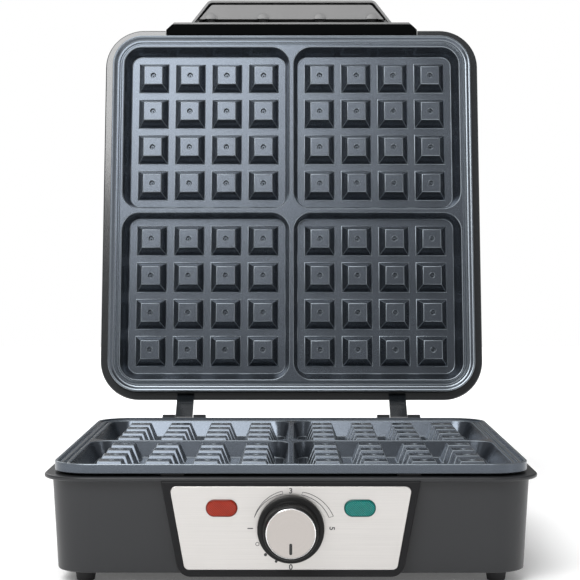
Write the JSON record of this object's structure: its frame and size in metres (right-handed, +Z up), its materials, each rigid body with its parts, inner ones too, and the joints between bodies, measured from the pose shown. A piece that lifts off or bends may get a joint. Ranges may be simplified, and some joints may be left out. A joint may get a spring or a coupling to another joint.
{
  "type": "waffle maker",
  "caption": "Countertop waffle maker, square, with hinged cast grid plates, moulded black housings, a brushed-steel control panel, a turn knob and lamp lenses, drawn open.",
  "frame": {"origin": "on the table, under the centre of the lower plate", "axes": "+X to the user's right, +Y towards the hinge at the back, +Z up"},
  "size_m": [0.254, 0.3885, 0.341],
  "materials": {
    "housing_black": "satin moulded",
    "surround_black": "satin moulded, eased edge",
    "cover_black": "matt moulded",
    "screw_steel": "zinc plated",
    "panel_steel": "brushed lengthwise, bevelled edge",
    "lens_red": "clear tinted, diamond pattern",
    "lens_green": "clear tinted, diamond pattern",
    "holder_white": "satin",
    "neon_glass": "clear",
    "ceramic_body": "matt",
    "zinc_sheet": "zinc plated",
    "shaft_brass": "turned",
    "knob_black": "satin, ribbed",
    "cap_steel": "spun, bright rim",
    "pointer_black": "satin",
    "nonstick": "non-stick coating, fine speckle",
    "element_steel": "heat-tinted sheath",
    "shield_sheet": "aluminised",
    "pin_steel": "turned",
    "lid_black": "glossy moulded",
    "handle_black": "satin moulded",
    "handle_grey": "satin moulded",
    "gland_rubber": "soft moulded",
    "ceramic_block": "matt",
    "fuse_body": "matt",
    "foot_rubber": "soft moulded",
    "lead_sleeve": "heat-resistant sleeving"
  },
  "bodies": {
    "base": {"base_housing": "housing_black", "panel_surround": "surround_black", "inlet_block": "cover_black", "bottom_cover": "cover_black", "bottom_cover_screws": "screw_steel", "front_panel": "panel_steel", "power_lamp_lens": "lens_red", "ready_lamp_lens": "lens_green", "power_lamp_holder": "holder_white", "ready_lamp_holder": "holder_white", "power_lamp_neon": "neon_glass", "ready_lamp_neon": "neon_glass", "thermostat": "ceramic_body", "thermostat_bracket": "zinc_sheet", "bracket_screws": "screw_steel", "lower_plate": "nonstick", "lower_element": "element_steel", "lower_shield": "shield_sheet", "lower_plate_screws": "screw_steel", "hinge_pin_left": "pin_steel", "hinge_pin_right": "pin_steel", "cord_gland": "gland_rubber", "terminal_block": "ceramic_block", "thermal_fuse": "fuse_body", "fuse_strap": "zinc_sheet", "foot_front_left": "foot_rubber", "foot_rear_left": "foot_rubber", "foot_front_right": "foot_rubber", "foot_rear_right": "foot_rubber", "fuse_lead": "lead_sleeve", "thermostat_lead": "lead_sleeve", "element_lead": "lead_sleeve", "neutral_lead": "lead_sleeve"},
    "lid": {"upper_plate": "nonstick", "upper_element": "element_steel", "upper_shield": "shield_sheet", "upper_plate_screws": "screw_steel", "lid_frame": "lid_black", "lid_cover": "lid_black", "lid_screws": "screw_steel", "handle_bar": "handle_black", "handle_grip": "handle_black", "handle_cover": "handle_grey", "handle_screws": "screw_steel"},
    "knob": {"control_knob": "knob_black", "knob_cap": "cap_steel", "knob_pointer": "pointer_black", "thermostat_shaft": "shaft_brass"}
  },
  "joints": [
    {"name": "lid_hinge", "type": "hinge", "parent": "base", "child": "lid", "pos_m": [0, 0.14435, 0.0548], "axis": [1, 0, 0], "range_deg": [0, 100.3]},
    {"name": "knob_turn", "type": "hinge", "parent": "base", "child": "knob", "pos_m": [0, -0.13, 0.03], "axis": [0, 1, 0], "range_deg": [0, 270]}
  ]
}
